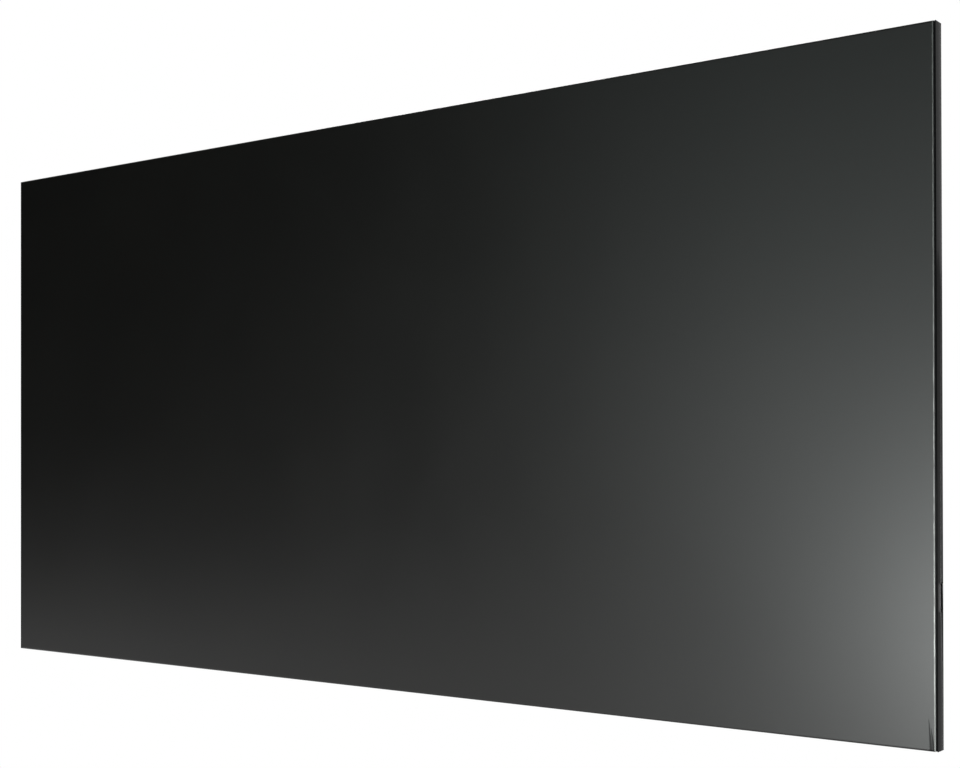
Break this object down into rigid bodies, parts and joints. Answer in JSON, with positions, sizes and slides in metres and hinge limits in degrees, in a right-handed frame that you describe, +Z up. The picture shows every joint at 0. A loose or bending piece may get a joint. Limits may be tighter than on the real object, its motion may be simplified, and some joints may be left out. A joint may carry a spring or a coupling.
{
  "type": "infrared panel heater",
  "caption": "Flat wall-hung infrared panel heater: black radiant plate in a slim mitred frame, keyhole hanging rails and a cable gland on the back.",
  "frame": {"origin": "middle of the upper hanging rail's wall face, on the wall plane", "axes": "+X along the panel's width to the viewer's right, +Y into the wall (the radiant plate faces -Y), +Z up"},
  "size_m": [1.2, 0.0361, 0.6],
  "materials": {
    "plate_coating": "satin",
    "frame_black": "satin",
    "bare_aluminium": "satin",
    "zinc_plated_steel": "satin",
    "galvanised_steel": "satin",
    "cable_sheath": "matte",
    "foil": "polished",
    "insulation": "matte",
    "black_plastic": "satin",
    "seal_rubber": "matte",
    "terminal_ceramic": "satin",
    "lead_brown": "satin",
    "lead_blue": "satin",
    "lead_green": "satin"
  },
  "bodies": {
    "root": {"front_plate": "plate_coating", "frame_top": "frame_black", "frame_right": "frame_black", "frame_bottom": "frame_black", "frame_left": "frame_black", "corner_key_top_right": "bare_aluminium", "corner_key_bottom_right": "bare_aluminium", "corner_key_bottom_left": "bare_aluminium", "corner_key_top_left": "bare_aluminium", "grub_screw_top_right_1": "zinc_plated_steel", "grub_screw_top_right_2": "zinc_plated_steel", "grub_screw_bottom_right_1": "zinc_plated_steel", "grub_screw_bottom_right_2": "zinc_plated_steel", "grub_screw_bottom_left_1": "zinc_plated_steel", "grub_screw_bottom_left_2": "zinc_plated_steel", "grub_screw_top_left_1": "zinc_plated_steel", "grub_screw_top_left_2": "zinc_plated_steel", "heating_cable": "cable_sheath", "reflector_foil": "foil", "insulation_board": "insulation", "back_cover": "galvanised_steel", "cover_screw_1": "zinc_plated_steel", "cover_screw_2": "zinc_plated_steel", "cover_screw_3": "zinc_plated_steel", "cover_screw_4": "zinc_plated_steel", "cover_screw_5": "zinc_plated_steel", "cover_screw_6": "zinc_plated_steel", "cover_screw_7": "zinc_plated_steel", "cover_screw_8": "zinc_plated_steel", "cover_screw_9": "zinc_plated_steel", "cover_screw_10": "zinc_plated_steel", "hanging_rail_upper": "galvanised_steel", "hanging_rail_lower": "galvanised_steel", "rail_rivet_upper_1": "bare_aluminium", "rail_rivet_upper_2": "bare_aluminium", "rail_rivet_upper_3": "bare_aluminium", "rail_rivet_upper_4": "bare_aluminium", "rail_rivet_lower_1": "bare_aluminium", "rail_rivet_lower_2": "bare_aluminium", "rail_rivet_lower_3": "bare_aluminium", "rail_rivet_lower_4": "bare_aluminium", "junction_box": "black_plastic", "box_seal": "seal_rubber", "box_lid": "black_plastic", "lid_screw_1": "zinc_plated_steel", "lid_screw_2": "zinc_plated_steel", "box_rivet_1": "bare_aluminium", "box_rivet_2": "bare_aluminium", "gland_body": "black_plastic", "gland_cap_nut": "black_plastic", "gland_lock_nut": "black_plastic", "terminal_block": "terminal_ceramic", "thermal_cutout": "bare_aluminium", "cutout_lead": "lead_brown", "live_lead": "lead_brown", "neutral_lead": "lead_blue", "earth_lead": "lead_green", "earth_screw": "zinc_plated_steel"}
  },
  "joints": []
}
